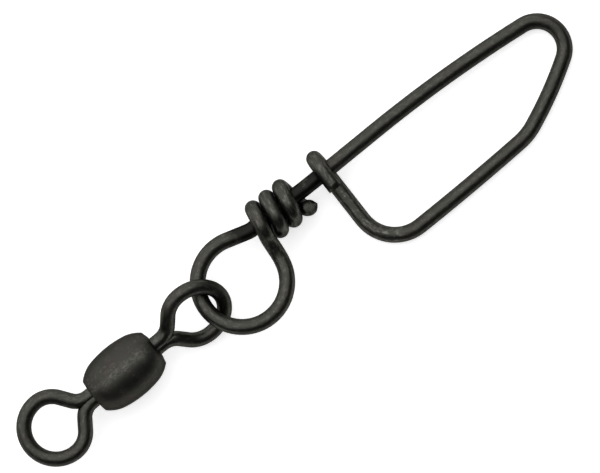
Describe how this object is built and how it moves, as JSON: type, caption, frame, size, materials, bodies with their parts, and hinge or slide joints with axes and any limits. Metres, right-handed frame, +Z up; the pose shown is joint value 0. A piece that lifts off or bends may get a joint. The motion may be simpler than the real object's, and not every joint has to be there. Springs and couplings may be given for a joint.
{
  "type": "fishing snap swivel",
  "caption": "Barrel swivel with two turning wire eyes and a coiled wire snap whose long loop closes with a hook round its own spine, for joining line to tackle.",
  "frame": {"origin": "centre of the line eye's loop, on the load line that runs through the barrel", "axes": "+X along the load line from the line eye to the snap's nose, +Y toward the snap's spine, +Z up from the surface that the part lies on"},
  "size_m": [0.0851, 0.0168, 0.0074],
  "materials": {
    "barrel_metal": "black nickel plating, satin, with faint pale rubs",
    "eye_wire": "black nickel plated hard wire, satin",
    "snap_wire": "black nickel plated spring wire, satin"
  },
  "bodies": {
    "barrel": {"barrel": "barrel_metal"},
    "line_eye": {"line_eye": "eye_wire"},
    "snap_eye": {"snap_eye": "eye_wire"},
    "snap": {"snap_wire": "snap_wire"}
  },
  "joints": [
    {"name": "line_eye_swivel", "type": "hinge", "parent": "barrel", "child": "line_eye", "pos_m": [0.01091, 0, 0], "axis": [1, 0, 0], "continuous": true},
    {"name": "snap_eye_swivel", "type": "hinge", "parent": "barrel", "child": "snap_eye", "pos_m": [0.01091, 0, 0], "axis": [1, 0, 0], "continuous": true},
    {"name": "snap_swing", "type": "hinge", "parent": "snap_eye", "child": "snap", "pos_m": [0.02916, -0.0006, 0], "axis": [0.0021, 0.1219, 0.9925], "range_deg": [-90, 90]}
  ]
}
